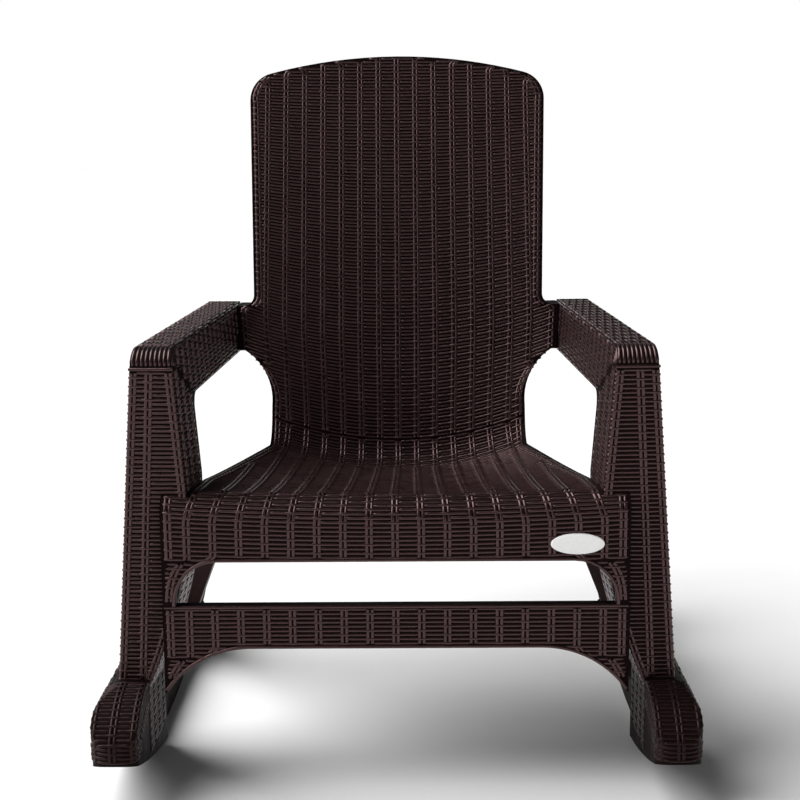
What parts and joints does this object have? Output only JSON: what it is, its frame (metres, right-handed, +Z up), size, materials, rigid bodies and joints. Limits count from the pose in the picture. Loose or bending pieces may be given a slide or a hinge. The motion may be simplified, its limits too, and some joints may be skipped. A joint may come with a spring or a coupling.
{
  "type": "rocking chair",
  "caption": "Moulded plastic rocking chair with a woven rattan look: reclined back, dished seat, flat arms and bowed rockers on which the whole chair rolls.",
  "frame": {"origin": "on the floor, on the plane of symmetry, at the line where both rockers touch the floor at rest", "axes": "+Z up, the sitter faces -Y, +X is to the right of someone who faces the chair's front"},
  "size_m": [0.738, 0.794, 0.934],
  "materials": {
    "woven_plastic": "dark brown moulded weave, semi-gloss",
    "smooth_plastic": "dark brown smooth moulding, semi-gloss",
    "screw_steel": "zinc-plated steel",
    "label_white": "blank white label"
  },
  "bodies": {
    "root": {"seat_shell": "woven_plastic", "left_side_frame": "woven_plastic", "right_side_frame": "woven_plastic", "front_stretcher": "woven_plastic", "left_rear_leg": "smooth_plastic", "right_rear_leg": "smooth_plastic", "left_rocker": "smooth_plastic", "right_rocker": "smooth_plastic", "apron_screws": "screw_steel", "stretcher_screws": "screw_steel", "arm_screws": "screw_steel", "front_foot_screws": "screw_steel", "rear_foot_screws": "screw_steel", "rear_leg_screws": "screw_steel", "apron_label": "label_white"}
  },
  "joints": []
}
